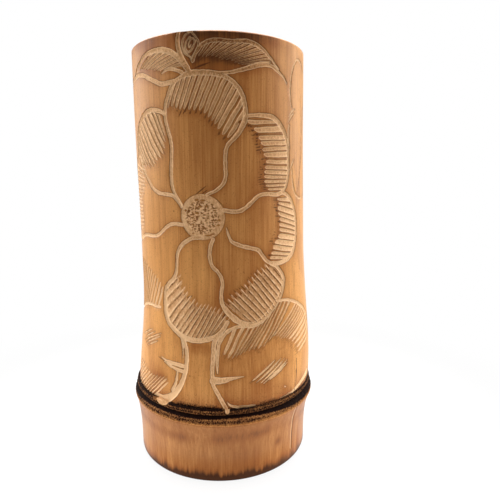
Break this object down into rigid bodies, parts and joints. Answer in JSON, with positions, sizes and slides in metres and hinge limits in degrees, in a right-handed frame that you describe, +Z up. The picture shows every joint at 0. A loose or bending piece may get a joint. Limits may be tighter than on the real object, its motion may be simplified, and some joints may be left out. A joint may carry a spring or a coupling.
{
  "type": "bamboo vase",
  "caption": "Cylindrical vase cut from a thick bamboo culm, with a carved front, a node near the foot and a sealed round well.",
  "frame": {"origin": "on the table under the middle of the node's band, at the height of the foot's underside", "axes": "+Z up along the culm from the foot to the mouth, the carved front faces -Y, +X to the right of someone who looks at the carving"},
  "size_m": [0.1188, 0.1188, 0.25],
  "materials": {
    "culm_skin": "oiled and waxed, toasted brown",
    "scorched_node": "scorched, rough",
    "foot_skin": "oiled and waxed",
    "raw_bamboo": "raw, sanded",
    "clear_coat": "brushed honey-coloured varnish"
  },
  "bodies": {
    "root": {"upper_culm": "culm_skin", "node_band": "scorched_node", "foot_culm": "foot_skin", "floor_plate": "raw_bamboo", "sealing_coat": "clear_coat"}
  },
  "joints": []
}
